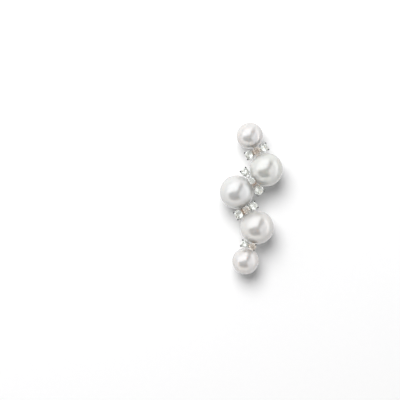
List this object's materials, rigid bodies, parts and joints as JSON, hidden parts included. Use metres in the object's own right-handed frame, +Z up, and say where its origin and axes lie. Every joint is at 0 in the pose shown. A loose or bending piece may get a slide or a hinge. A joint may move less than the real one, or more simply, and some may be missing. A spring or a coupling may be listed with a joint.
{
  "type": "pearl earring",
  "caption": "Clip-on pearl earring: round white pearls in a zigzag, with rows of brilliant-cut stones in claws between them.",
  "frame": {"origin": "on the surface that the earring lies on, below the middle of its outline", "axes": "+Z is up and is the way the face looks, +Y runs along the earring to its top end, +X is to the right as the face is seen"},
  "size_m": [0.0132, 0.0316, 0.0084],
  "materials": {
    "pearl": "satin nacre",
    "stone": "faceted, clear",
    "white_metal": "polished"
  },
  "bodies": {
    "root": {"setting": "white_metal", "ear_clip": "white_metal", "pearl_1": "pearl", "pearl_2": "pearl", "pearl_3": "pearl", "pearl_4": "pearl", "pearl_5": "pearl", "stone_1": "stone", "stone_2": "stone", "stone_3": "stone", "stone_4": "stone", "stone_5": "stone", "stone_6": "stone", "stone_7": "stone", "stone_8": "stone", "stone_9": "stone", "stone_10": "stone", "stone_11": "stone"}
  },
  "joints": []
}
